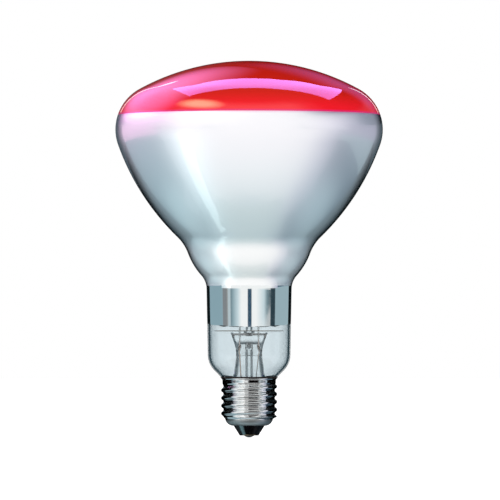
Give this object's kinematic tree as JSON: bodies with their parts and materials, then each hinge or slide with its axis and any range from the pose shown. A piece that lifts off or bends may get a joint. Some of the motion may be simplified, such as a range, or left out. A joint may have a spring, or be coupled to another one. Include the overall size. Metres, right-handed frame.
{
  "type": "infrared heat lamp bulb",
  "caption": "Reflector heat lamp bulb: domed red front, mirrored cone and neck, clear glass foot and a metal screw cap with a centre contact.",
  "frame": {"origin": "on the lamp axis at the tip of the centre contact", "axes": "+Z along the lamp axis from the cap to the dome; +X in the plane of the two lead wires; +Y to the side away from the picture's view"},
  "size_m": [0.125, 0.125, 0.1759],
  "materials": {
    "envelope_glass": "blown glass, red lacquer outside on the dome, mirror layer inside on the reflector, clear at the foot of the neck",
    "stem_glass": "clear lead-free glass",
    "shield_mica": "pale brownish mica sheet",
    "seal_wire_metal": "copper-clad seal wire",
    "lead_nickel": "nickel wire",
    "lead_copper": "copper wire",
    "support_metal": "molybdenum wire",
    "filament_tungsten": "coiled tungsten wire",
    "cap_nickel": "bright nickel plate on brass sheet",
    "insulator_glass": "glossy black glass",
    "contact_brass": "plated brass",
    "solder_metal": "dull tin solder",
    "cement": "dark heat-resisting cement"
  },
  "bodies": {
    "root": {"glass_bulb": "envelope_glass", "stem_flare": "stem_glass", "exhaust_tube": "stem_glass", "glass_arbor": "stem_glass", "heat_shield_disc": "shield_mica", "seal_wire_left": "seal_wire_metal", "seal_wire_right": "seal_wire_metal", "inner_lead_left": "lead_nickel", "inner_lead_right": "lead_nickel", "outer_lead_contact": "lead_copper", "outer_lead_shell": "lead_copper", "filament": "filament_tungsten", "cap_shell": "cap_nickel", "cap_insulator": "insulator_glass", "centre_contact": "contact_brass", "tip_solder": "solder_metal", "side_solder": "solder_metal", "capping_cement": "cement", "filament_support_1": "support_metal", "filament_support_2": "support_metal", "filament_support_3": "support_metal", "filament_support_4": "support_metal", "filament_support_5": "support_metal", "filament_support_6": "support_metal"}
  },
  "joints": []
}
